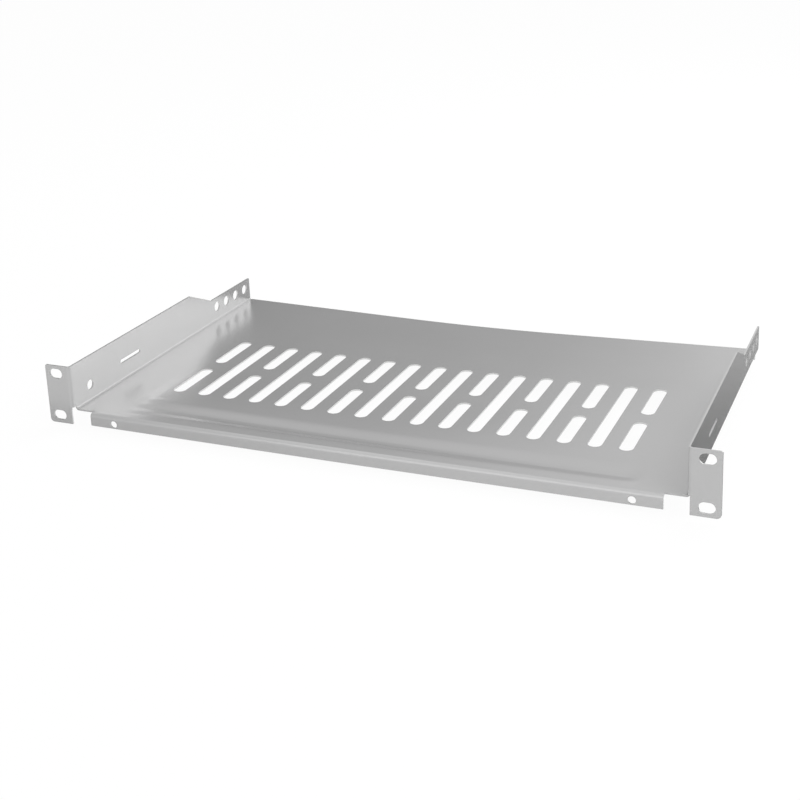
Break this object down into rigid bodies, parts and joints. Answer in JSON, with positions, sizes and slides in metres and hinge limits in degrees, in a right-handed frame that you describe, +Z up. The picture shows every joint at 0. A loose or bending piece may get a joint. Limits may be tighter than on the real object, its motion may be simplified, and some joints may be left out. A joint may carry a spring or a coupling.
{
  "type": "cantilever rack shelf",
  "caption": "Shallow rack shelf folded from one steel sheet, with vent slots in the deck, side walls that step down to the rear, turned-down lips and slotted mounting ears.",
  "frame": {"origin": "middle of the rack slots in the ears, on the back of the ears where they meet the rails", "axes": "+X to the right across the rack, +Y to the rear of the rack, +Z up"},
  "size_m": [0.4826, 0.267, 0.0472],
  "materials": {
    "painted_steel": "satin light grey paint"
  },
  "bodies": {
    "root": {"rack_shelf": "painted_steel"}
  },
  "joints": []
}
